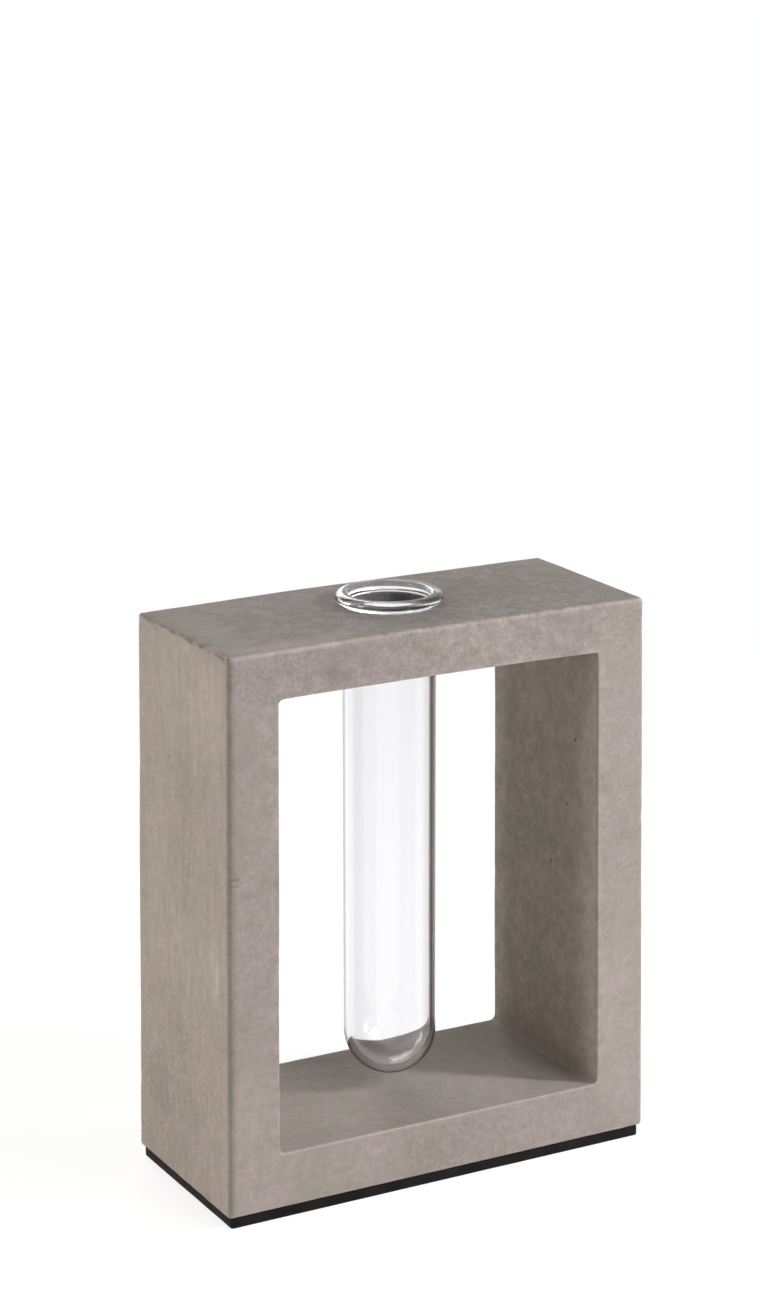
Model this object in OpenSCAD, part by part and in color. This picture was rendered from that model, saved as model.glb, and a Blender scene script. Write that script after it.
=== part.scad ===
// Bud vase: a cast concrete frame that holds a glass tube by its rim.
// +Z is up, the front faces -Y, and the origin is the middle of the foot's underside. Lengths in millimetres.

/* [Concrete frame] */
// Width of the frame, left to right
frame_w = 102.5; // [90:0.5:140]
// Depth of the frame, front to back
frame_d = 44.5; // [36:0.5:60]
// Height of the frame without the foot under it
frame_h = 122.3; // [100:0.1:160]
// Thickness of each side wall
side_t = 12; // [8:0.1:16]
// Thickness of the floor under the window
floor_t = 12.2; // [8:0.1:18]
// Thickness of the top bar that carries the tube
top_t = 11; // [7:0.1:16]
// Radius of the frame's outer edges
frame_edge_r = 1; // [0.4:0.1:2]
// Radius of the window's four corners
window_corner_r = 1; // [0.4:0.1:3]

/* [Hole for the tube] */
// How far the hole's axis lies behind the middle of the depth
hole_setback = 1.5; // [0:0.1:3]
// Play between the tube and the hole, all round
hole_play = 0.5; // [0.3:0.05:0.8]
// Width of the chamfer at both ends of the hole
hole_chamfer = 0.3; // [0.1:0.05:0.5]

/* [Glass tube] */
// Outside diameter of the tube
tube_d = 20.5; // [16:0.5:24]
// Thickness of the tube's wall
tube_wall = 1.2; // [0.8:0.1:1.6]
// Thickness of the glass at the lowest point of the round bottom
tube_bottom_t = 1.6; // [1:0.1:3]
// How far the rolled rim stands out from the tube's wall
rim_reach = 1.6; // [1.6:0.05:2.6]
// Height of the rolled rim
rim_h = 2.4; // [1.6:0.1:3.2]
// Space between the hanging tube and the window's floor
tube_gap = 2.6; // [1:0.1:10]
// Slack between the rim and the frame's top face
seat_slack = 0.1; // [0.05:0.05:0.3]

/* [Rubber foot] */
// Thickness of the rubber sheet under the frame
foot_t = 2.2; // [1:0.1:4]
// How far the foot stays back from the frame's outer faces
foot_inset = 0.75; // [0.5:0.05:2]
// Radius of the foot's corners
foot_corner_r = 2; // [0.4:0.1:4]
// Thickness of the adhesive film that holds the foot
film_t = 0.2; // [0.1:0.05:0.3]

/* [Hidden] */
$fn = 96;

// Overrun of every cut past the face that it opens
cut = 1;

// Heights above the surface that the vase stands on
film_z = foot_t;
frame_z = film_z + film_t;
window_z = frame_z + floor_t;
frame_top = frame_z + frame_h;

// Window through the frame, from front to back
window_w = frame_w - 2 * side_t;
window_h = frame_h - floor_t - top_t;

// Tube that hangs by its rim in the top bar, on an axis of its own
tube_r = tube_d / 2;
bore_r = tube_r - tube_wall;
lip_r = tube_wall / 2;
rim_r = tube_r + rim_reach;
rim_z = frame_top + seat_slack;
rim_top = rim_z + rim_h;
rim_round_r = rim_h / 2;
tube_z = window_z + tube_gap;
bore_bottom_z = tube_z + tube_bottom_t;
hole_r = tube_r + hole_play;

concrete_colour = [0.64, 0.6, 0.57];
glass_colour = [0.82, 0.87, 0.88, 0.4];
film_colour = [0.16, 0.155, 0.15];
foot_colour = [0.09, 0.085, 0.085];

// Rectangle about the origin with round corners
module rounded_rect(w, h, r) {
    square([w - 2 * r, h], center = true);
    square([w, h - 2 * r], center = true);
    for (x = [-1, 1], y = [-1, 1])
        translate([x * (w / 2 - r), y * (h / 2 - r)])
            circle(r);
}

// Upright bar along Y with a rounded outline seen from the front, centred on the origin
module prism_along_y(w, h, r, length) {
    rotate([90, 0, 0])
        linear_extrude(length, center = true)
            rounded_rect(w, h, r);
}

// Block with every edge rounded, made where three rounded bars cross
module rounded_block(w, d, h, r) {
    intersection() {
        prism_along_y(w, h, r, d);
        linear_extrude(h, center = true)
            rounded_rect(w, d, r);
        rotate([0, 0, 90])
            prism_along_y(d, h, r, w);
    }
}

// Puts what turns about the tube's axis in its place
module on_tube_axis() {
    translate([0, hole_setback, 0])
        children();
}

// Round hole through the top bar, chamfered where it meets the top face and the window
module tube_hole() {
    translate([0, 0, frame_top - top_t - cut])
        cylinder(r = hole_r, h = top_t + 2 * cut);
    translate([0, 0, frame_top - hole_chamfer])
        cylinder(r1 = hole_r, r2 = hole_r + hole_chamfer + cut, h = hole_chamfer + cut);
    translate([0, 0, frame_top - top_t - cut])
        cylinder(r1 = hole_r + hole_chamfer + cut, r2 = hole_r, h = hole_chamfer + cut);
}

// One casting with a window through it from front to back
module concrete_frame() {
    color(concrete_colour)
        difference() {
            translate([0, 0, frame_z + frame_h / 2])
                rounded_block(frame_w, frame_d, frame_h, frame_edge_r);
            translate([0, 0, window_z + window_h / 2])
                prism_along_y(window_w, window_h, window_corner_r, frame_d + 2 * cut);
            on_tube_axis()
                tube_hole();
        }
}

// Half outline of a round-ended solid: a hemisphere of radius r under a straight wall
module round_ended_half(r, bottom, top) {
    translate([0, bottom + r])
        square([r, top - bottom - r]);
    intersection() {
        translate([0, bottom + r])
            circle(r);
        translate([0, bottom])
            square(r);
    }
}

// Half section of the rolled rim: round outside, with the wall's own lip inside
module rim_half() {
    translate([rim_r - rim_round_r, rim_z + rim_round_r])
        circle(rim_round_r);
    translate([bore_r + lip_r, rim_top - lip_r])
        circle(lip_r);
    translate([bore_r + lip_r, rim_z])
        square([rim_r - rim_round_r - bore_r - lip_r, rim_h]);
    translate([bore_r, rim_z])
        square([tube_wall, rim_h - lip_r]);
}

// Test-tube shape, open at the top and round at the bottom
module glass_tube() {
    color(glass_colour)
        on_tube_axis()
            rotate_extrude() {
                difference() {
                    round_ended_half(tube_r, tube_z, rim_top - lip_r);
                    round_ended_half(bore_r, bore_bottom_z, rim_top + cut);
                }
                rim_half();
            }
}

// Plan outline shared by the foot and its adhesive film
module foot_outline() {
    rounded_rect(frame_w - 2 * foot_inset, frame_d - 2 * foot_inset, foot_corner_r);
}

// Thin double-sided film between the foot and the casting
module foot_adhesive() {
    color(film_colour)
        translate([0, 0, film_z])
            linear_extrude(film_t)
                foot_outline();
}

// Flat sheet that the vase stands on
module rubber_foot() {
    color(foot_colour)
        linear_extrude(foot_t)
            foot_outline();
}

concrete_frame();
glass_tube();
foot_adhesive();
rubber_foot();
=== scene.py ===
import math

import bmesh
import bpy
from mathutils import Matrix, Vector, kdtree, noise


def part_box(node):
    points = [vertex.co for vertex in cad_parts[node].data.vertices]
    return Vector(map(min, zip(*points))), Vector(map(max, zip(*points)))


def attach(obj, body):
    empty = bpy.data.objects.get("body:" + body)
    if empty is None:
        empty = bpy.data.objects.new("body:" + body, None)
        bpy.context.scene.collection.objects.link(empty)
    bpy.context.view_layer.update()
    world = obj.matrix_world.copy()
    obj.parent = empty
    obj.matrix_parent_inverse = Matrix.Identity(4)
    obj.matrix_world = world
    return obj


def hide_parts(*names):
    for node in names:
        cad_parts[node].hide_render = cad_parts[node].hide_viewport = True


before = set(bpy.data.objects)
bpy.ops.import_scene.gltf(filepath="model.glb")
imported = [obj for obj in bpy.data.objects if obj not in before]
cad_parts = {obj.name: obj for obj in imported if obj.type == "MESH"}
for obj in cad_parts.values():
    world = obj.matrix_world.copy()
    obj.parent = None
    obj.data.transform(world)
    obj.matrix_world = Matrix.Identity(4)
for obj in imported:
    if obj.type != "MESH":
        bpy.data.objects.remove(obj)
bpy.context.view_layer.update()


# Rubber foot
# A sheet of dense black rubber, die-cut a little smaller than the casting, that keeps concrete off a table.
# It is cut from a roll, so its faces are flat and its cut sides waver by a hair.

mm = 0.001
foot_low, foot_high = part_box("rubber_foot")

# The real sheet ends nearly flush with the casting, this much outside the plain one of the frame.
foot_spread = Vector((0.5 * mm, 0.5 * mm, 0))

foot_corner_round = 0.8 * mm
foot_corner_steps = 6
foot_edge_round = 0.25 * mm
foot_edge_steps = 2
foot_edge_fold = math.radians(60)
foot_slice = 2.0 * mm
foot_waver = 0.09 * mm
foot_waver_length = 7.0 * mm
foot_waver_inward = 0.5
foot_waver_seed = 3
rubber_black = (0.007, 0.0065, 0.0065, 1)
rubber_grey = (0.016, 0.0145, 0.014, 1)
rubber_pore = 0.35 * mm
rubber_smear = 6.0 * mm
rubber_bloom_range = (0.35, 0.75)
rubber_roughness = (0.7, 0.85)
rubber_specular = 0.12
rubber_relief = 0.05 * mm
rubber_relief_strength = 0.6

# Cloudy noise lies mostly between these.
mottle_range = (0.3, 0.7)


def block_between(low, high):
    """A plain block that fills the box between two corners."""
    block = bmesh.new()
    bmesh.ops.create_cube(block, size=1)
    bmesh.ops.scale(block, vec=high - low, verts=block.verts)
    bmesh.ops.translate(block, vec=(low + high) / 2, verts=block.verts)
    return block


def edges_along(shape, axis):
    """The edges that run along one axis: 0, 1 or 2."""
    straight = 0.999
    return [e for e in shape.edges if abs((e.verts[1].co - e.verts[0].co).normalized()[axis]) > straight]


def round_edges(shape, edges, radius, steps):
    """Rounds these edges to a radius."""
    bmesh.ops.bevel(
        shape, geom=edges, affect="EDGES", offset=radius, segments=steps, profile=0.5, material=-1,
        clamp_overlap=True,
    )


def even_stations(marks, step):
    """Places between the marks, no further apart than the step, with the inner marks among them."""
    rounding = 0.001
    stations = []
    for start, end in zip(marks, marks[1:]):
        count = max(1, math.ceil((end - start) / step - rounding))
        stations += [start + (end - start) * i / count for i in range(count)]
    return stations[1:]


def slice_along(shape, axis, stations):
    """Cuts the skin square to one axis at each station, from the lowest station up."""
    on_plane = 0.04 * mm
    across = Vector((0, 0, 0))
    across[axis] = 1
    ahead = shape.faces[:]
    for station in stations:
        edges = {e for f in ahead for e in f.edges}
        corners = {v for f in ahead for v in f.verts}
        cut = bmesh.ops.bisect_plane(
            shape, geom=[*corners, *edges, *ahead], dist=on_plane, plane_co=across * station,
            plane_no=across,
        )
        faces = [f for f in cut["geom"] if isinstance(f, bmesh.types.BMFace)]
        ahead = [f for f in faces if f.calc_center_median()[axis] > station]


def unevenness(place, length, seed):
    """Smooth noise from -1 to 1 whose bumps are about this length."""
    offset = Vector((seed, seed, seed))
    return noise.noise(place / length + offset)


def finished_piece(name, shape, finish, body, node):
    """Makes the mesh a smooth piece at the origin that rides on a body and stands for a CAD node."""
    for face in shape.faces:
        face.smooth = True
    mesh = bpy.data.meshes.new(name)
    shape.to_mesh(mesh)
    shape.free()
    mesh.materials.append(finish)
    piece = bpy.data.objects.new(name, mesh)
    bpy.context.scene.collection.objects.link(piece)
    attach(piece, body)
    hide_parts(node)


def new_finish(name):
    """A material with no nodes in it yet."""
    finish = bpy.data.materials.new(name)
    finish.use_nodes = True
    finish.node_tree.nodes.clear()
    return finish


def add(finish, kind, inputs=(), **settings):
    """Adds a node with these settings, and puts numbers, colours or links on its inputs."""
    made = finish.node_tree.nodes.new("ShaderNode" + kind)
    for name, value in settings.items():
        setattr(made, name, value)
    for socket, value in dict(inputs).items():
        if isinstance(value, bpy.types.NodeSocket):
            finish.node_tree.links.new(value, made.inputs[socket])
        else:
            made.inputs[socket].default_value = value
    return made


def place_on_piece(finish, squeeze=1):
    """The position on the piece in metres, its height squeezed where a pattern is drawn out upright."""
    place = add(finish, "TexCoord").outputs["Object"]
    return add(finish, "Mapping", {"Vector": place, "Scale": (1, 1, squeeze)}).outputs["Vector"]


def mottle(finish, place, size, detail):
    """Cloudy noise from 0 to 1 whose patches are about this size."""
    return add(finish, "TexNoise", {"Vector": place, "Scale": 1 / size, "Detail": detail}).outputs[0]


def from_to(finish, value, source, target=(0, 1)):
    """Carries a value from one range to another, and holds it at the ends."""
    low, high = source
    to_low, to_high = target
    made = add(
        finish, "MapRange",
        {"Value": value, "From Min": low, "From Max": high, "To Min": to_low, "To Max": to_high},
    )
    return made.outputs[0]


def mixed(finish, share, first, second):
    """Mixes two colours, the second by its share."""
    return add(finish, "Mix", {0: share, 6: first, 7: second}, data_type="RGBA").outputs[2]


def relief_of(finish, height, depth, strength):
    """The surface's direction with a fine relief on it, this deep from its lowest to its highest."""
    return add(finish, "Bump", {"Height": height, "Distance": depth, "Strength": strength}).outputs[0]


def rubber_finish():
    """Matt black rubber with closed pores and a greyish bloom."""
    finish = new_finish("black_rubber")
    place = place_on_piece(finish)
    pores = mottle(finish, place, rubber_pore, detail=3)
    bloom = mottle(finish, place, rubber_smear, detail=4)
    surface = add(finish, "BsdfPrincipled", {
        "Base Color": mixed(finish, from_to(finish, bloom, rubber_bloom_range), rubber_black, rubber_grey),
        "Roughness": from_to(finish, pores, mottle_range, rubber_roughness),
        "Specular IOR Level": rubber_specular,
        "Normal": relief_of(finish, pores, rubber_relief, rubber_relief_strength),
    })
    add(finish, "OutputMaterial", {"Surface": surface.outputs[0]})
    return finish


foot_low -= foot_spread
foot_high += foot_spread
foot = block_between(foot_low, foot_high)
round_edges(foot, edges_along(foot, 2), foot_corner_round, foot_corner_steps)
foot_rims = [e for e in foot.edges if e.calc_face_angle() > foot_edge_fold]
round_edges(foot, foot_rims, foot_edge_round, foot_edge_steps)
foot_clear = foot_corner_round + foot_edge_round
for axis in (0, 1):
    foot_marks = (
        foot_low[axis], foot_low[axis] + foot_clear, foot_high[axis] - foot_clear, foot_high[axis],
    )
    slice_along(foot, axis, even_stations(foot_marks, foot_slice)[1:-1])
foot.normal_update()
for vert in foot.verts:
    sideways = Vector((vert.normal.x, vert.normal.y, 0))
    waver = unevenness(vert.co, foot_waver_length, foot_waver_seed) - foot_waver_inward
    vert.co += sideways * foot_waver * waver
finished_piece("rubber_foot_sheet", foot, rubber_finish(), "stand", "rubber_foot")


# Adhesive film
# The thin double-sided film that joins the foot to the casting. Only its cut edge shows, as a dark
# hairline between rubber and concrete. It is the frame's own piece, finished as dark, slightly shiny glue.

film_dark = (0.020, 0.0195, 0.019, 1)
film_dusty = (0.060, 0.055, 0.050, 1)
film_dust = 1.6 * mm
film_dust_range = (0.5, 0.75)
film_roughness = (0.35, 0.7)


def film_finish():
    """Dark glue with dust caught on its cut edge."""
    finish = new_finish("adhesive_film")
    dust = mottle(finish, place_on_piece(finish), film_dust, detail=3)
    surface = add(finish, "BsdfPrincipled", {
        "Base Color": mixed(finish, from_to(finish, dust, film_dust_range), film_dark, film_dusty),
        "Roughness": from_to(finish, dust, mottle_range, film_roughness),
    })
    add(finish, "OutputMaterial", {"Surface": surface.outputs[0]})
    return finish


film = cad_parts["foot_adhesive"]
film.data.materials.clear()
film.data.materials.append(film_finish())


# Concrete casting
# One block of fine grey-brown concrete, cast in a mould with a core for the window and a pin for the hole.
# The arrises come out of the mould slightly soft and uneven, the long faces wave by a few hundredths of a
# millimetre, and air bubbles leave a pinhole here and there.

casting_low, casting_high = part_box("concrete_frame")
tube_low, tube_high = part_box("glass_tube")
side_wall = 12.0 * mm
floor_wall = 12.2 * mm
top_wall = 11.0 * mm
window_low = casting_low + Vector((side_wall, 0, floor_wall))
window_high = casting_high - Vector((side_wall, 0, top_wall))
window_middle = (window_low + window_high) / 2
window_half = (window_high - window_low) / 2

arris_round = 0.9 * mm
arris_steps = 4
upper_left_corner = 1.4 * mm
lower_left_corner = 1.0 * mm
upper_right_corner = 0.5 * mm
lower_right_corner = 1.3 * mm
window_corner_steps = 5
mouth_round = 0.3 * mm
mouth_steps = 3
square_on = 0.999

# Rings of cells fill a square round the hole. A quarter of the hole's sides meets each side of the square,
# and the cells of the rest of the skin are as wide as the square's.
hole_axis = Vector(((tube_low.x + tube_high.x) / 2, (tube_low.y + tube_high.y) / 2, 0))
hole_radius = 10.75 * mm
hole_mouth_round = 0.35 * mm
hole_mouth_steps = 2
hole_sides = 96
hole_ring_cuts = 2
patch_half = 13.0 * mm
skin_step = 2 * patch_half / (hole_sides / 4)
skin_hold = 0.3 * mm
doubles_reach = 0.01 * mm

# How the mould departs from a true block.
ceiling_bow = 0.3 * mm
top_dip = 0.6 * mm
top_dip_start = 12.0 * mm
mould_draft = 0.55 * mm

# Waves of the faces, which calm down near the hole, and wear and chips of the arrises.
face_wave = 0.10 * mm
face_wave_length = 26.0 * mm
face_wave_seed = 11
skin_ripple = 0.025 * mm
skin_ripple_length = 6.0 * mm
skin_ripple_seed = 23
calm_round_hole = 2.0 * mm
calm_fade = 8.0 * mm
arris_wear = 0.10 * mm
arris_wear_length = 4.5 * mm
arris_wear_base = 0.35
arris_wear_seed = 31
arris_chip = 0.8 * mm
arris_chip_length = 3.4 * mm
arris_chip_over = 0.4
arris_chip_seed = 47

# The left arris of the top, which is crumbled.
ragged_depth = 0.9 * mm
ragged_reach = 2.5 * mm
ragged_length = 2.2 * mm
ragged_contrast = 1.8
ragged_base = 0.1
ragged_seed = 59

# Painted highlight and painted shade on the arrises: how much lighter or darker than the faces they are.
arris_highlight = 0.42
arris_low_highlight = 0.24
arris_lean = 0.5
arris_left_shade = 0.08
arris_upright_shade = 0.04
corner_shade = 0.33
corner_shade_reach = 1.0 * mm
corner_shade_aside = 0.70 * mm


def near(first, second, reach=0.02 * mm):
    """Whether two lengths are as good as equal."""
    return abs(first - second) < reach


def on_window_mouth(edge):
    """Whether an edge lies on the window's front or back outline."""
    first, second = (v.co for v in edge.verts)
    flat = near(first.y, second.y) and any(near(first.y, y) for y in (casting_low.y, casting_high.y))
    facing = [abs(f.normal.y) > square_on for f in edge.link_faces]
    inside = all(
        abs(c.x - window_middle.x) < window_half.x + mm and abs(c.z - window_middle.z) < window_half.z + mm
        for c in (first, second)
    )
    return flat and inside and sum(facing) == 1


def cut_window(shape):
    """Opens the window from front to back and rounds its corners and its two mouths."""
    faces = [f for f in shape.faces if abs(f.normal.y) > square_on]
    bmesh.ops.inset_individual(shape, faces=faces, thickness=side_wall)
    for face in faces:
        for vert in face.verts:
            vert.co.x = window_high.x if vert.co.x > window_middle.x else window_low.x
            vert.co.z = window_high.z if vert.co.z > window_middle.z else window_low.z
    mouths = [e for f in faces for e in f.edges]
    bmesh.ops.delete(shape, geom=faces, context="FACES_ONLY")
    bmesh.ops.bridge_loops(shape, edges=mouths)
    bmesh.ops.recalc_face_normals(shape, faces=shape.faces)
    corners = {
        (window_low.x, window_high.z): upper_left_corner,
        (window_low.x, window_low.z): lower_left_corner,
        (window_high.x, window_high.z): upper_right_corner,
        (window_high.x, window_low.z): lower_right_corner,
    }
    for (x, z), radius in corners.items():
        at_corner = [
            e for e in edges_along(shape, 1) if near(e.verts[0].co.x, x) and near(e.verts[0].co.z, z)
        ]
        round_edges(shape, at_corner, radius, window_corner_steps)
    lips = [e for e in shape.edges if on_window_mouth(e)]
    round_edges(shape, lips, mouth_round, mouth_steps)


def clear_mitres(shape):
    """Takes out the slanting seams that the window left on the flat front and back."""
    exact = 0.9999
    seams = []
    for edge in shape.edges:
        along = (edge.verts[1].co - edge.verts[0].co).normalized()
        flat = all(abs(f.normal.y) > exact for f in edge.link_faces)
        if flat and max(abs(along.x), abs(along.z)) < exact:
            seams.append(edge)
    bmesh.ops.dissolve_edges(shape, edges=seams, use_verts=True, use_face_split=False)


def open_hole(shape, height, facing):
    """Opens a square round the hole's axis at one height and joins a ring to it. Gives the ring's edges."""
    level = 0.99
    patch = []
    shape.normal_update()
    for face in shape.faces:
        middle = face.calc_center_median()
        inside = max(abs(middle.x - hole_axis.x), abs(middle.y - hole_axis.y)) < patch_half
        if inside and near(middle.z, height) and face.normal.z * facing > level:
            patch.append(face)
    bmesh.ops.delete(shape, geom=patch, context="FACES")
    square = [e for e in shape.edges if e.is_boundary and near(e.verts[0].co.z, height)]
    lifted = Vector((0, 0, facing * mm))
    centre = Matrix.Translation(Vector((hole_axis.x, hole_axis.y, height)) + lifted)
    ring = bmesh.ops.create_circle(
        shape, cap_ends=False, segments=hole_sides, radius=hole_radius, matrix=centre
    )
    ring_edges = list({e for v in ring["verts"] for e in v.link_edges})
    bmesh.ops.bridge_loops(shape, edges=square + ring_edges)
    bmesh.ops.translate(shape, vec=-lifted, verts=ring["verts"])
    ring_verts = set(ring["verts"])
    spokes = [e for v in ring_verts for e in v.link_edges if e.other_vert(v) not in ring_verts]
    bmesh.ops.subdivide_edges(shape, edges=spokes, cuts=hole_ring_cuts, use_grid_fill=True)
    return ring_edges


def casting_blank():
    """The block with its window and hole, its skin cut into cells of about a millimetre."""
    shape = block_between(casting_low, casting_high)
    round_edges(shape, shape.edges[:], arris_round, arris_steps)
    cut_window(shape)
    inner = arris_round + skin_hold
    lip = mouth_round + skin_hold
    corner = upper_left_corner + skin_hold
    marks = {
        0: [casting_low.x, casting_low.x + inner, window_low.x - lip, window_low.x + corner,
            hole_axis.x - patch_half, hole_axis.x + patch_half,
            window_high.x - corner, window_high.x + lip, casting_high.x - inner, casting_high.x],
        1: [casting_low.y, casting_low.y + inner, hole_axis.y - patch_half,
            hole_axis.y + patch_half, casting_high.y - inner, casting_high.y],
        2: [casting_low.z, casting_low.z + inner, window_low.z - lip, window_low.z + corner,
            window_high.z - corner, window_high.z + lip, casting_high.z - inner, casting_high.z],
    }
    for axis, places in marks.items():
        inside = [s for s in even_stations(places, skin_step) if places[1] <= s <= places[-2]]
        slice_along(shape, axis, inside)
    clear_mitres(shape)
    upper = open_hole(shape, casting_high.z, 1)
    lower = open_hole(shape, window_high.z, -1)
    bmesh.ops.bridge_loops(shape, edges=upper + lower)
    round_edges(shape, upper + lower, hole_mouth_round, hole_mouth_steps)
    bmesh.ops.remove_doubles(shape, verts=shape.verts, dist=doubles_reach)
    bmesh.ops.recalc_face_normals(shape, faces=shape.faces)
    return shape


def hold(value):
    """Keeps a value between 0 and 1."""
    return min(1, max(0, value))


def mould_shape(place):
    """How the mould moves a point: its ceiling bows up, its top dips on the left, and it has some draft."""
    across = (place.x - window_middle.x) / window_half.x
    over_window = hold((place.z - window_high.z + mm) / mm)
    under_top = hold((casting_high.z - place.z) / top_wall)
    bow = ceiling_bow * (1 - hold(abs(across)) ** 2) * over_window * under_top
    to_left = hold((-place.x - top_dip_start) / (casting_high.x - top_dip_start))
    dip = top_dip * to_left * (1 - under_top) * over_window
    half_height = (casting_high.z - casting_low.z) / 2
    down = (casting_low.z + half_height - place.z) / half_height
    spread = mould_draft * down / casting_high.x
    return Vector((place.x * spread, place.y * spread, bow - dip))


def mark_arrises(shape):
    """Keeps on each point how much of an arris it is, from 0 on a flat to 1 on the middle of a rounding.

    A second layer, for the finish, holds painted light and shade: a painted highlight where an arris
    looks up or down, painted shade where it is upright or faces left, and the deepest painted shade on the
    front left one, most of all just past it on the front face.
    """
    layer = shape.verts.layers.float.new("arris")
    tone = shape.verts.layers.float.new("arris_painted_light")
    halfway = math.sqrt(0.5)
    shape.normal_update()
    for vert in shape.verts:
        squareness = max(abs(n) for n in vert.normal)
        vert[layer] = hold((1 - squareness) / (1 - halfway))
        sideways = hold(math.hypot(vert.normal.x, vert.normal.y) / arris_lean)
        upward = hold(vert.normal.z / arris_lean) * sideways
        downward = hold(-vert.normal.z / arris_lean) * sideways
        to_left = hold(-vert.normal.x / halfway)
        # Painted highlight where an arris looks up or down, painted shade where it is upright or faces
        # left.
        light = (arris_highlight * upward + arris_low_highlight * downward) * (1 - to_left)
        dark = arris_left_shade * to_left + arris_upright_shade * (1 - to_left) * (1 - upward) * (1 - downward)
        # Painted shade along the front left arris, centred just past it on the front face.
        right_of_corner = vert.co.x - casting_low.x - corner_shade_aside
        from_corner = math.hypot(right_of_corner, vert.co.y - casting_low.y)
        shade = corner_shade * hold(1 - from_corner / corner_shade_reach)
        vert[tone] = light - vert[layer] * dark - shade
    return layer


def weather(shape):
    """Gives the skin the waves, soft arrises and chips of a real casting. The underside stays flat."""
    layer = mark_arrises(shape)
    moves = []
    for vert in shape.verts:
        place = vert.co
        calm = 1
        if place.z > window_high.z - mm:
            from_hole = math.hypot(place.x - hole_axis.x, place.y - hole_axis.y) - hole_radius
            calm = hold((from_hole - calm_round_hole) / calm_fade)
        out = face_wave * unevenness(place, face_wave_length, face_wave_seed) * calm
        out += skin_ripple * unevenness(place, skin_ripple_length, skin_ripple_seed) * calm
        wear = hold(unevenness(place, arris_wear_length, arris_wear_seed) + arris_wear_base)
        past = unevenness(place, arris_chip_length, arris_chip_seed) - arris_chip_over
        chip = hold(past / (1 - arris_chip_over))
        out -= vert[layer] * calm * (arris_wear * wear + arris_chip * chip)
        from_top_left = math.hypot(place.x - casting_low.x, place.z - casting_high.z)
        crumbled = hold(ragged_contrast * unevenness(place, ragged_length, ragged_seed) + ragged_base)
        out -= ragged_depth * crumbled * hold(1 - from_top_left / ragged_reach)
        moves.append(vert.normal * out + mould_shape(place))
    underside = arris_round / 3
    for vert, move in zip(shape.verts, moves):
        if near(vert.co.z, casting_low.z, underside):
            move.z = 0
        vert.co += move


# The casting's faces in millimetres, on which the bubbles and the scuffs are placed.
left_face = casting_low.x / mm
right_face = casting_high.x / mm
front_face = casting_low.y / mm
back_face = casting_high.y / mm
top_face = casting_high.z / mm
inner_left = window_low.x / mm
inner_right = window_high.x / mm
sill = window_low.z / mm

# Air bubbles: place in millimetres from the middle of the foot's underside, then radius and depth.
bubbles = [
    ((-3.0, front_face, 116.8), 0.30, 0.30),
    ((-44.3, front_face, 66.0), 0.28, 0.26),
    ((21.0, front_face, 8.0), 0.26, 0.22),
    ((47.2, front_face, 92.0), 0.24, 0.20),
    ((8.9, -5.7, sill), 0.30, 0.26),
    ((inner_right, -12.9, 91.9), 0.50, 0.40),
    ((inner_right, -1.3, 80.2), 0.36, 0.30),
    ((inner_right, -9.4, 76.2), 0.44, 0.36),
    ((inner_right, -3.0, 61.0), 0.40, 0.32),
    ((inner_right, 6.5, 104.0), 0.34, 0.28),
    ((inner_right, -15.5, 44.0), 0.30, 0.26),
    ((left_face, 6.0, 96.0), 0.34, 0.28),
    ((left_face, -9.0, 31.0), 0.30, 0.25),
    ((right_face, 3.0, 70.0), 0.42, 0.35),
    ((right_face, -12.0, 104.0), 0.30, 0.25),
    ((-30.0, back_face, 119.5), 0.36, 0.30),
    ((46.0, back_face, 48.0), 0.45, 0.35),
    ((-45.5, back_face, 84.0), 0.30, 0.25),
    ((4.0, back_face, 9.0), 0.38, 0.30),
    ((-36.0, 8.0, top_face), 0.30, 0.25),
    ((inner_left, 2.0, 45.0), 0.34, 0.30),
    ((-18.0, 12.0, sill), 0.30, 0.25),
]
bubble_cuts = 4
bubble_fullness = 0.7


def sink_bubbles(shape):
    """Presses each air bubble into the skin as a small bowl, with finer cells round it."""
    faces = shape.faces[:]
    middles = kdtree.KDTree(len(faces))
    for index, face in enumerate(faces):
        middles.insert(face.calc_center_median(), index)
    middles.balance()
    for place, radius, depth in bubbles:
        centre = Vector(place) * mm
        reach = radius * mm
        found = [faces[index] for _, index, _ in middles.find_range(centre, reach + skin_step)]
        inward = -found[0].normal.copy()
        edges = list({e for f in found for e in f.edges})
        cut = bmesh.ops.subdivide_edges(shape, edges=edges, cuts=bubble_cuts, use_grid_fill=True)
        points = {v for v in cut["geom_inner"] if isinstance(v, bmesh.types.BMVert)}
        for vert in points:
            offset = vert.co - centre
            aside = (offset - inward * offset.dot(inward)).length
            vert.co += inward * depth * mm * hold(1 - (aside / reach) ** 2) ** bubble_fullness


concrete_olive = (0.360, 0.330, 0.279, 1)
concrete_plain = (0.374, 0.330, 0.299, 1)
concrete_rosy = (0.391, 0.326, 0.310, 1)
# Painted warm cast of the light on the left face, laid on in patches.
left_warm_cast = (0.372, 0.300, 0.262, 1)
cement_light = (0.62, 0.58, 0.54, 1)
pinhole_shade = (0.12, 0.10, 0.085, 1)
plain_range = (0.35, 0.6)
rosy_range = (0.40, 0.66)
rosy_most = 0.9
warm_cast_range = (0.5, 0.7)
warm_cast_most = 0.45

# Layers of mottling: the size of the patches, their detail, and how much darker and lighter they are.
mottlings = {
    "clouds": (22.0 * mm, 3, 0.02),
    "stains": (11.0 * mm, 2, 0.025),
    "patches": (4.5 * mm, 2, 0.025),
    "blotches": (1.9 * mm, 2, 0.055),
    "sand": (0.85 * mm, 2, 0.075),
    "grain": (0.32 * mm, 1, 0.04),
}

# The left face, which was drawn up along the mould, has upright streaks and scratches.
left_skin = 1.2 * mm
streak_width = 1.9 * mm
streak_length = 12.0 * mm
streak_contrast = 0.045
scratch_width = 0.5 * mm
scratch_length = 3.5 * mm
scratch_range = (0.64, 0.8)
scratch_most = 0.1

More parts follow.
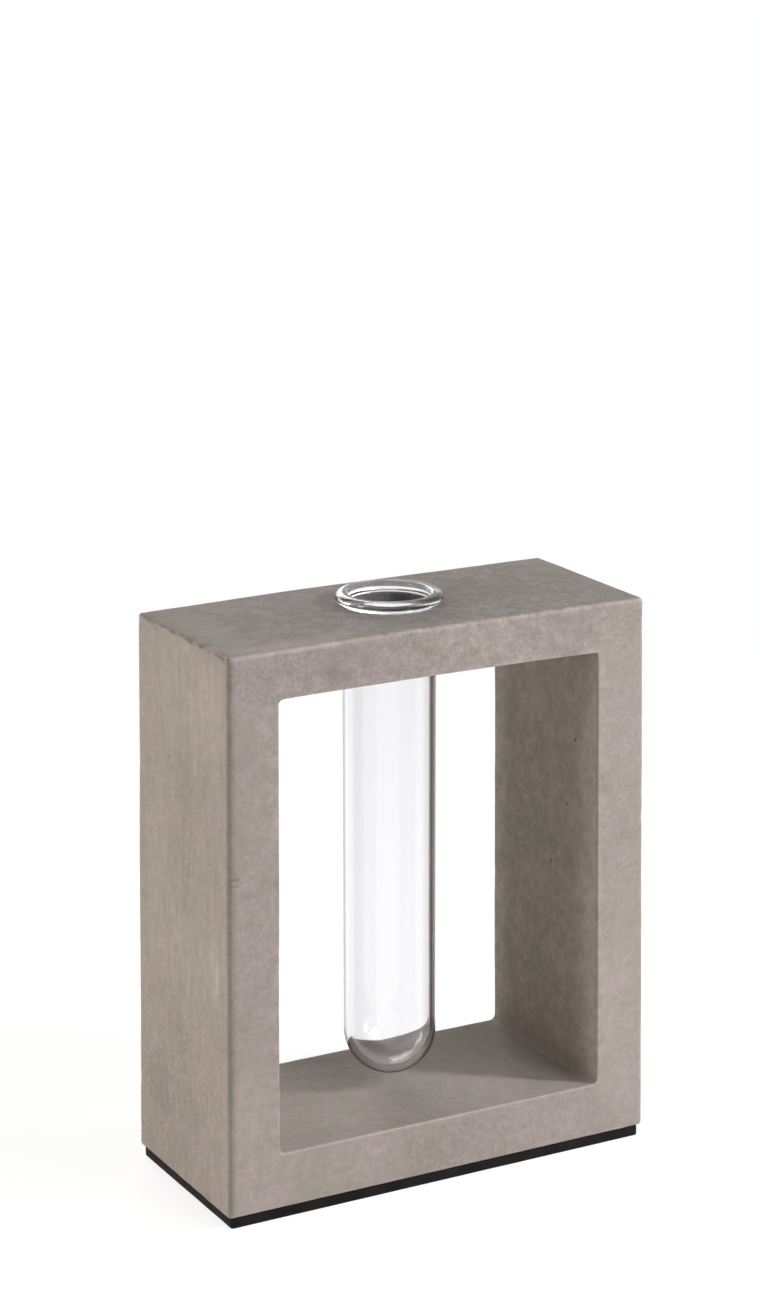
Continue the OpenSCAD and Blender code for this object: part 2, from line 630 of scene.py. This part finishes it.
# The skin between the side walls and above the window's floor is blotchier. It fades out between these
# distances from the middle, and these heights.
core_sides = (window_half.x + 1.0 * mm, window_half.x + 3.0 * mm)
core_floor = (window_low.z + 1.0 * mm, window_low.z + 5.0 * mm)
core_contrast = 0.05

fleck_spacing = 2.6 * mm
fleck_radius = 0.22 * mm
fleck_cells = 0.35
fleck_strength = 0.4
pinhole_spacing = 4.2 * mm
pinhole_radius = 0.24 * mm
pinhole_cells = 0.22
pinhole_shade_strength = 0.55
grain_in_relief = 0.4
concrete_relief = 0.07 * mm
concrete_relief_strength = 0.7
concrete_roughness = (0.8, 0.92)
concrete_specular = 0.25

# Scuffs, and patches of painted light and shade that are marked below: middle in millimetres, half lengths
# along the three axes, and how much lighter or darker it is. On a flat face a mark is as deep as this. Its
# edge fades out and is broken up by the sand.
mark_deep = 2.0
mark_fade = (0.3, 1)
mark_ragged = 0.25
scuffs_and_painted_light = [
    ((left_face, 0.0, 57.0), (mark_deep, 45.0, 14.0), 0.075),
    ((left_face, -15.5, 55.5), (mark_deep, 2.8, 9.0), 0.13),
    ((left_face, -17.2, 54.0), (mark_deep, 1.2, 5.0), 0.16),
    ((left_face, -12.7, 24.5), (mark_deep, 0.6, 4.0), 0.20),
    ((left_face, -6.4, 97.5), (mark_deep, 0.6, 2.2), 0.22),
    ((left_face, 1.0, 118.0), (mark_deep, 0.45, 5.0), -0.22),
    ((left_face, 13.0, 73.0), (mark_deep, 7.0, 16.0), 0.09),
    ((left_face, 12.0, 20.0), (mark_deep, 8.0, 10.0), -0.10),
    ((left_face, -1.5, 92.0), (mark_deep, 6.5, 30.0), -0.07),
    ((left_face, -17.0, 104.0), (mark_deep, 5.0, 18.0), 0.05),
    ((left_face, 3.0, 38.0), (mark_deep, 7.0, 9.0), -0.06),
    ((left_face, -10.0, 12.0), (mark_deep, 9.0, 7.0), 0.05),
    ((left_face, -4.0, 112.0), (mark_deep, 26.0, 18.0), 0.10),
    ((left_face, 0.0, 14.0), (mark_deep, 26.0, 24.0), -0.07),
    ((left_face + 0.45, 11.5, top_face - 0.8), (1.2, 3.5, 0.8), -0.35),
    ((left_face + 0.65, 1.0, top_face - 0.5), (1.2, 1.4, 0.7), -0.45),
    ((left_face + 0.45, -9.0, top_face - 0.8), (1.2, 1.5, 0.8), -0.40),
    ((left_face + 0.45, -19.5, top_face - 0.8), (1.3, 2.5, 0.8), -0.30),
    ((left_face + 0.25, -3.0, top_face - 2.5), (0.9, 2.4, 1.4), 0.12),
    # These two make the top of the front face darker.
    ((-24.0, front_face, 120.0), (34.0, mark_deep, 10.0), -0.12),
    ((30.0, front_face, 121.0), (26.0, mark_deep, 9.0), -0.10),
    # Lighter on the lower right of the front face.
    ((46.0, front_face, 28.0), (10.0, mark_deep, 34.0), 0.12),
    ((-24.0, front_face, 8.0), (18.0, mark_deep, 9.0), 0.09),
    # Painted light: the inner right wall is lighter towards its front edge, where light comes in.
    ((inner_right, -17.5, 64.0), (mark_deep, 7.0, 60.0), 0.20),
    # Painted light: a pool of light on the front of the window's floor, where the key lamp shines in.
    ((-4.0, -11.0, sill), (36.0, 15.0, mark_deep), 0.12),
    ((-49.3, front_face, 76.8), (1.4, mark_deep, 0.35), -0.30),
    ((-49.2, front_face, 75.5), (1.5, mark_deep, 0.30), -0.20),
    ((-41.0, front_face, 70.0), (0.35, mark_deep, 5.0), 0.12),
    # Lighter on the lower left of the front face.
    ((-45.0, front_face, 12.0), (14.0, mark_deep, 30.0), 0.13),
    ((4.0, front_face, 8.0), (16.0, mark_deep, 8.0), -0.07),
    # These two make the top lighter at its left end and along its front left.
    ((-46.0, -2.0, top_face), (8.0, 26.0, mark_deep), 0.13),
    ((-34.0, -19.0, top_face), (22.0, 5.0, mark_deep), 0.22),
    # Painted shadow on the top face just in front of the rim.
    ((-2.0, -17.0, top_face), (13.0, 5.0, mark_deep), -0.10),
    # Painted shade over most of the top face.
    ((12.0, 0.0, top_face), (46.0, 26.0, mark_deep), -0.18),
]


def arithmetic(finish, operation, first, second):
    """One step of arithmetic on two values."""
    return add(finish, "Math", {0: first, 1: second}, operation=operation).outputs[0]


def times(finish, first, second):
    """The product of two values."""
    return arithmetic(finish, "MULTIPLY", first, second)


def vector_step(finish, operation, first, second):
    """One step of arithmetic on two places."""
    return add(finish, "VectorMath", {0: first, 1: second}, operation=operation).outputs[0]


def length_of(finish, offset):
    """How long an offset is."""
    return add(finish, "VectorMath", {0: offset}, operation="LENGTH").outputs["Value"]


def mixed_value(finish, share, first, second):
    """Mixes two values, the second by its share."""
    return add(finish, "Mix", {0: share, 2: first, 3: second}).outputs[0]


def varied(finish, shade, value, amount):
    """The shade, made darker and lighter by this amount as cloudy noise runs through its range."""
    return times(finish, shade, from_to(finish, value, mottle_range, (1 - amount, 1 + amount)))


def scattered(finish, place, spacing, radius, share):
    """Spots of 1 on a ground of 0, on a scattered grid, in only this share of its cells."""
    full_within = 0.4
    cells = add(finish, "TexVoronoi", {"Vector": place, "Scale": 1 / spacing})
    spot = from_to(finish, cells.outputs["Distance"], (radius / spacing, full_within * radius / spacing))
    cell = add(finish, "SeparateColor", {0: cells.outputs["Color"]}).outputs[0]
    return times(finish, spot, arithmetic(finish, "LESS_THAN", cell, share))


def scuffed_and_painted(finish, shade, place, sand):
    """The shade with each scuff and each patch of painted light and shade put into it."""
    broken = from_to(finish, sand, mottle_range, (-mark_ragged, mark_ragged))
    for middle, reach, strength in scuffs_and_painted_light:
        offset = vector_step(finish, "SUBTRACT", place, Vector(middle) * mm)
        away = length_of(finish, vector_step(finish, "DIVIDE", offset, Vector(reach) * mm))
        away = arithmetic(finish, "ADD", away, broken)
        shade = times(finish, shade, from_to(finish, away, mark_fade, (1 + strength, 1)))
    return shade


def concrete_finish():
    """Fine cast concrete: clouded tone, sand grain, light flecks, dark pinholes, streaks and scuffs.
    Painted light and shade lie on the arrises, in the pinholes, on the left face and in patches among the
    scuffs.
    """
    finish = new_finish("cast_concrete")
    place = place_on_piece(finish)
    across, _, up = add(finish, "SeparateXYZ", {0: place}).outputs
    on_left = arithmetic(finish, "LESS_THAN", across, casting_low.x + left_skin)

    layers = {}
    shade = 1
    for name, (size, detail, contrast) in mottlings.items():
        layers[name] = mottle(finish, place, size, detail)
        shade = varied(finish, shade, layers[name], contrast)

    plain = from_to(finish, layers["clouds"], plain_range)
    rosy = from_to(finish, layers["patches"], rosy_range, (0, rosy_most))
    # The left face alone turns warmer in patches: a painted warm cast of the light on that side.
    warm_cast = times(finish, from_to(finish, layers["stains"], warm_cast_range, (0, warm_cast_most)), on_left)
    tone = mixed(finish, plain, concrete_olive, concrete_plain)
    tone = mixed(finish, rosy, tone, concrete_rosy)
    tone = mixed(finish, warm_cast, tone, left_warm_cast)

    drawn = place_on_piece(finish, streak_width / streak_length)
    streaked = varied(finish, 1, mottle(finish, drawn, streak_width, detail=1), streak_contrast)
    shade = times(finish, shade, mixed_value(finish, on_left, 1, streaked))

    off_middle = arithmetic(finish, "ABSOLUTE", across, 0)
    between_walls = from_to(finish, off_middle, core_sides, (1, 0))
    by_core = times(finish, between_walls, from_to(finish, up, core_floor))
    rough = varied(finish, 1, layers["patches"], core_contrast)
    rough = varied(finish, rough, layers["blotches"], core_contrast)
    shade = times(finish, shade, mixed_value(finish, by_core, 1, rough))

    # Painted highlight and painted shade on the arrises.
    painted_arris = add(finish, "Attribute", attribute_name="arris_painted_light").outputs["Fac"]
    shade = times(finish, shade, arithmetic(finish, "ADD", painted_arris, 1))
    shade = scuffed_and_painted(finish, shade, place, layers["sand"])
    colour = add(finish, "VectorMath", {0: tone, 3: shade}, operation="SCALE").outputs[0]

    flecks = scattered(finish, place, fleck_spacing, fleck_radius, fleck_cells)
    colour = mixed(finish, times(finish, flecks, fleck_strength), colour, cement_light)
    scratched = place_on_piece(finish, scratch_width / scratch_length)
    scratches = mottle(finish, scratched, scratch_width, detail=1)
    scratches = from_to(finish, scratches, scratch_range, (0, scratch_most))
    colour = mixed(finish, times(finish, scratches, on_left), colour, cement_light)
    # The pinholes are pits in the relief, painted dark inside as painted shade.
    pinholes = scattered(finish, place, pinhole_spacing, pinhole_radius, pinhole_cells)
    colour = mixed(finish, times(finish, pinholes, pinhole_shade_strength), colour, pinhole_shade)

    height = mixed_value(finish, grain_in_relief, layers["sand"], layers["grain"])
    height = arithmetic(finish, "SUBTRACT", height, pinholes)
    surface = add(finish, "BsdfPrincipled", {
        "Base Color": colour,
        "Roughness": from_to(finish, layers["sand"], mottle_range, concrete_roughness),
        "Specular IOR Level": concrete_specular,
        "Normal": relief_of(finish, height, concrete_relief, concrete_relief_strength),
    })
    add(finish, "OutputMaterial", {"Surface": surface.outputs[0]})
    return finish


casting = casting_blank()
weather(casting)
sink_bubbles(casting)
finished_piece("concrete_casting", casting, concrete_finish(), "stand", "concrete_frame")


# Glass tube
# A clear drawn-glass test tube with a blown round bottom and a rolled, fire-polished rim.
# It hangs by the rim in the casting's hole, with a little play, and lifts out.

tube_radius = 10.25 * mm
tube_wall = 1.2 * mm
tube_bottom = 1.6 * mm
rim_radius = tube_high.x - hole_axis.x
rim_height = 2.4 * mm
rim_fillet = 0.6 * mm
tube_turns = 128
round_steps = 20
wall_steps = 24
rim_steps = 14
fillet_steps = 4
lip_steps = 6
glass_doubles_reach = 0.005 * mm
glass_tint = (0.945, 0.945, 0.958, 1)
glass_edge_shade = (0.22, 0.225, 0.24, 1)
glass_edge_shade_range = (0.66, 0.74)
glass_shadow = (0.70, 0.71, 0.71, 1)
glass_ior = 1.47
glass_roughness = (0.0, 0.02)
draw_width = 0.9 * mm
draw_length = 60.0 * mm
draw_rough_range = (0.4, 0.8)
draw_relief = 0.02 * mm
draw_relief_strength = 0.25


def arc_on(outline, start, centre, degrees, steps):
    """Carries the outline on from its last point along an arc, and gives the new last point."""
    arc = bmesh.ops.spin(
        outline, geom=[start], cent=centre, axis=(0, 1, 0), angle=math.radians(degrees), steps=steps,
        use_duplicate=False,
    )
    return next(v for v in arc["geom_last"] if isinstance(v, bmesh.types.BMVert))


def line_on(outline, start, place, steps=1):
    """Carries the outline on from its last point in a straight line, and gives the new last point."""
    first = start.co.copy()
    for step in range(1, steps + 1):
        start = bmesh.ops.extrude_vert_indiv(outline, verts=[start])["verts"][0]
        start.co = first.lerp(Vector(place), step / steps)
    return start


def tube_blank():
    """The tube's section drawn once on the right of its axis, then spun round it."""
    outline = bmesh.new()
    inner_radius = tube_radius - tube_wall
    bead = rim_height / 2
    lip = tube_wall / 2
    shoulder = tube_high.z - rim_height - rim_fillet
    bottom = tube_low.z
    inside_bottom = bottom + tube_bottom
    point = outline.verts.new((0, 0, bottom))
    point = arc_on(outline, point, (0, 0, bottom + tube_radius), -90, round_steps)
    point = line_on(outline, point, (tube_radius, 0, shoulder), wall_steps)
    point = arc_on(outline, point, (tube_radius + rim_fillet, 0, shoulder), 90, fillet_steps)
    point = line_on(outline, point, (rim_radius - bead, 0, tube_high.z - rim_height))
    point = arc_on(outline, point, (rim_radius - bead, 0, tube_high.z - bead), -180, rim_steps)
    point = line_on(outline, point, (inner_radius + lip, 0, tube_high.z))
    point = arc_on(outline, point, (inner_radius + lip, 0, tube_high.z - lip), -90, lip_steps)
    point = line_on(outline, point, (inner_radius, 0, inside_bottom + inner_radius), wall_steps)
    arc_on(outline, point, (0, 0, inside_bottom + inner_radius), 90, round_steps)
    bmesh.ops.spin(
        outline, geom=outline.verts[:] + outline.edges[:], cent=(0, 0, 0), axis=(0, 0, 1),
        angle=2 * math.pi, steps=tube_turns, use_merge=True,
    )
    bmesh.ops.remove_doubles(outline, verts=outline.verts, dist=glass_doubles_reach)
    bmesh.ops.recalc_face_normals(outline, faces=outline.faces)
    bmesh.ops.translate(outline, vec=hole_axis, verts=outline.verts)
    return outline


def from_upright(finish, place, line):
    """How far a place is from an upright line through a point."""
    offset = vector_step(finish, "SUBTRACT", place, line)
    return length_of(finish, vector_step(finish, "MULTIPLY", offset, (1, 1, 0)))


def glass_finish():
    """Clear glass with painted grey shade where it is looked through edge on, and faint lines along the
    draw.

    Light from a lamp or a wall passes it as it would a plain grey filter, which gives its shadow.
    """
    finish = new_finish("clear_glass")
    draw = mottle(finish, place_on_piece(finish, draw_width / draw_length), draw_width, detail=1)
    # Painted shade: the outer skin turns grey where it is seen edge on, for the dark lines of refraction
    # there.
    facing = add(finish, "LayerWeight", {"Blend": 0.5}).outputs["Facing"]
    edge_shade = from_to(finish, facing, glass_edge_shade_range)
    radius = from_upright(finish, place_on_piece(finish), hole_axis)
    outer = arithmetic(finish, "GREATER_THAN", radius, tube_radius - tube_wall / 2)
    glass = add(finish, "BsdfPrincipled", {
        "Base Color": mixed(finish, times(finish, edge_shade, outer), glass_tint, glass_edge_shade),
        "Roughness": from_to(finish, draw, draw_rough_range, glass_roughness),
        "IOR": glass_ior,
        "Transmission Weight": 1.0,
        "Normal": relief_of(finish, draw, draw_relief, draw_relief_strength),
    })
    clear = add(finish, "BsdfTransparent", {"Color": glass_shadow})
    rays = add(finish, "LightPath").outputs
    lighting = arithmetic(finish, "MAXIMUM", rays["Is Shadow Ray"], rays["Is Diffuse Ray"])
    surface = add(finish, "MixShader", {0: lighting, 1: glass.outputs[0], 2: clear.outputs[0]})
    add(finish, "OutputMaterial", {"Surface": surface.outputs[0]})
    return finish


finished_piece("drawn_glass_tube", tube_blank(), glass_finish(), "tube", "glass_tube")


# Floor and surroundings
# A plain white studio floor that runs out of sight, under an even white sky. The camera sees both as white
# paper, and the floor keeps a faint shadow where the vase stands.

floor_half = 6.0
floor_drop = -0.03 * mm
floor_white = (0.82, 0.82, 0.82, 1)
floor_shadow_grey = (0.36, 0.36, 0.36, 1)
floor_glow = 0.83
floor_warm = (1, 0.86, 0.74, 1)
floor_room_light = 0.18
floor_fade = (0.16, 0.42)
sky_white = (1, 1, 1, 1)
sky_level = 0.01
seen_level = 1.0


def seen_directly(finish):
    """1 for rays from the camera and from gloss and glass, and 0 for the light that falls on things."""
    rays = add(finish, "LightPath").outputs
    seen = arithmetic(finish, "MAXIMUM", rays["Is Camera Ray"], rays["Is Glossy Ray"])
    return arithmetic(finish, "MAXIMUM", seen, rays["Is Transmission Ray"])


def floor_finish():
    """White paper: lit as paper, seen as white with a faint shadow, and plain white further out."""
    finish = new_finish("white_paper")
    far = from_to(finish, length_of(finish, place_on_piece(finish)), floor_fade)
    lit = add(finish, "BsdfDiffuse", {"Color": floor_white})
    room_light = add(finish, "Emission", {"Color": floor_warm, "Strength": floor_room_light})
    paper = add(finish, "AddShader", {0: lit.outputs[0], 1: room_light.outputs[0]})
    faint = add(finish, "BsdfDiffuse", {"Color": floor_shadow_grey})
    glow = add(finish, "Emission", {"Color": sky_white, "Strength": floor_glow})
    near_shadow = add(finish, "AddShader", {0: faint.outputs[0], 1: glow.outputs[0]})
    plain = add(finish, "Emission", {"Color": sky_white, "Strength": seen_level})
    shown = add(finish, "MixShader", {0: far, 1: near_shadow.outputs[0], 2: plain.outputs[0]})
    surface = add(finish, "MixShader", {0: seen_directly(finish), 1: paper.outputs[0], 2: shown.outputs[0]})
    add(finish, "OutputMaterial", {"Surface": surface.outputs[0]})
    return finish


floor_shape = bmesh.new()
bmesh.ops.create_grid(floor_shape, x_segments=1, y_segments=1, size=floor_half)
bmesh.ops.translate(floor_shape, vec=(0, 0, floor_drop), verts=floor_shape.verts)
floor_mesh = bpy.data.meshes.new("studio_floor")
floor_shape.to_mesh(floor_mesh)
floor_shape.free()
floor_mesh.materials.append(floor_finish())
floor = bpy.data.objects.new("studio_floor", floor_mesh)
bpy.context.scene.collection.objects.link(floor)

sky = bpy.data.worlds.new("studio_sky")
bpy.context.scene.world = sky
sky.use_nodes = True
sky.node_tree.nodes.clear()
sky_strength = from_to(sky, seen_directly(sky), (0, 1), (sky_level, seen_level))
sky_light = add(sky, "Background", {"Color": sky_white, "Strength": sky_strength})
add(sky, "OutputWorld", {"Surface": sky_light.outputs[0]})


# Lamps
# A narrow lamp at the front right, as in a product studio, that draws the window's edge as a shadow on the
# window's floor, a tall strip on the left, and weak soft boxes in front and behind, which fill the rest.

casting_middle = Vector((0, 0, (casting_low.z + casting_high.z) / 2))


def softbox(name, azimuth, elevation, distance, width, height, level, tint):
    """A soft lamp, placed by angles in degrees. At level 1 a surface that faces it shows its own colour."""
    turn = math.radians(azimuth)
    rise = math.radians(elevation)
    away = Vector((math.sin(turn) * math.cos(rise), -math.cos(turn) * math.cos(rise), math.sin(rise)))
    light = bpy.data.lights.new(name, "AREA")
    light.shape = "RECTANGLE"
    light.size = width
    light.size_y = height
    light.energy = level * (math.pi * distance) ** 2
    light.color = tint
    lamp = bpy.data.objects.new(name, light)
    lamp.location = casting_middle + away * distance
    lamp.rotation_mode = "QUATERNION"
    lamp.rotation_quaternion = (-away).to_track_quat("-Z", "Y")
    lamp.visible_camera = False
    bpy.context.scene.collection.objects.link(lamp)


softbox(
    "key_light", azimuth=51.5, elevation=27, distance=0.9,
    width=0.07, height=0.1, level=0.575, tint=(0.97, 0.97, 1),
)
softbox(
    "right_low_softbox", azimuth=50, elevation=2, distance=0.9,
    width=0.3, height=0.4, level=0.27, tint=(0.97, 0.94, 0.95),
)
softbox(
    "front_softbox", azimuth=25, elevation=30, distance=1.2,
    width=0.5, height=0.5, level=0.25, tint=(0.95, 0.97, 1),
)
softbox(
    "left_strip", azimuth=-90, elevation=6, distance=0.9,
    width=0.2, height=0.5, level=0.535, tint=(1, 1, 0.95),
)
softbox(
    "back_softbox", azimuth=170, elevation=25, distance=1.2,
    width=0.7, height=0.7, level=0.445, tint=(0.98, 1, 0.98),
)
softbox(
    "back_left_softbox", azimuth=-155, elevation=6, distance=1.2,
    width=0.5, height=0.5, level=0.27, tint=(1, 0.92, 0.8),
)


# Camera
# Set where the photograph was taken from: a little left of the front and slightly above, with a long lens.
# The lens's axis meets the photograph at axis_row. The frame is slid down on it by the rest, so that the
# upright edges keep the taper that they have there.

photo_height = 1310
axis_row = 380
camera_turn = math.radians(-28.72)
camera_rise = math.radians(10.22)
camera_roll = math.radians(-0.07)
camera_distance = 714.4 * mm
camera_aside = -2.8 * mm
camera_above = 108.7 * mm
camera_lens = 89.03
nearest_seen = 0.01
furthest_seen = 50

back = Vector((
    math.sin(camera_turn) * math.cos(camera_rise),
    -math.cos(camera_turn) * math.cos(camera_rise),
    math.sin(camera_rise),
))
level_right = Vector((math.cos(camera_turn), math.sin(camera_turn), 0))
level_up = back.cross(level_right)
right = level_right * math.cos(camera_roll) + level_up * math.sin(camera_roll)
up = level_up * math.cos(camera_roll) - level_right * math.sin(camera_roll)

camera_data = bpy.data.cameras.new("photo_camera")
camera_data.lens = camera_lens
camera_data.shift_y = (axis_row - photo_height / 2) / photo_height
camera_data.clip_start = nearest_seen
camera_data.clip_end = furthest_seen
camera = bpy.data.objects.new("photo_camera", camera_data)
camera.location = casting_middle + back * camera_distance + right * camera_aside + up * camera_above
camera.rotation_mode = "QUATERNION"
camera.rotation_quaternion = Matrix((right, up, back)).transposed().to_quaternion()
bpy.context.scene.collection.objects.link(camera)
bpy.context.scene.camera = camera
bpy.context.scene.view_settings.view_transform = "Standard"
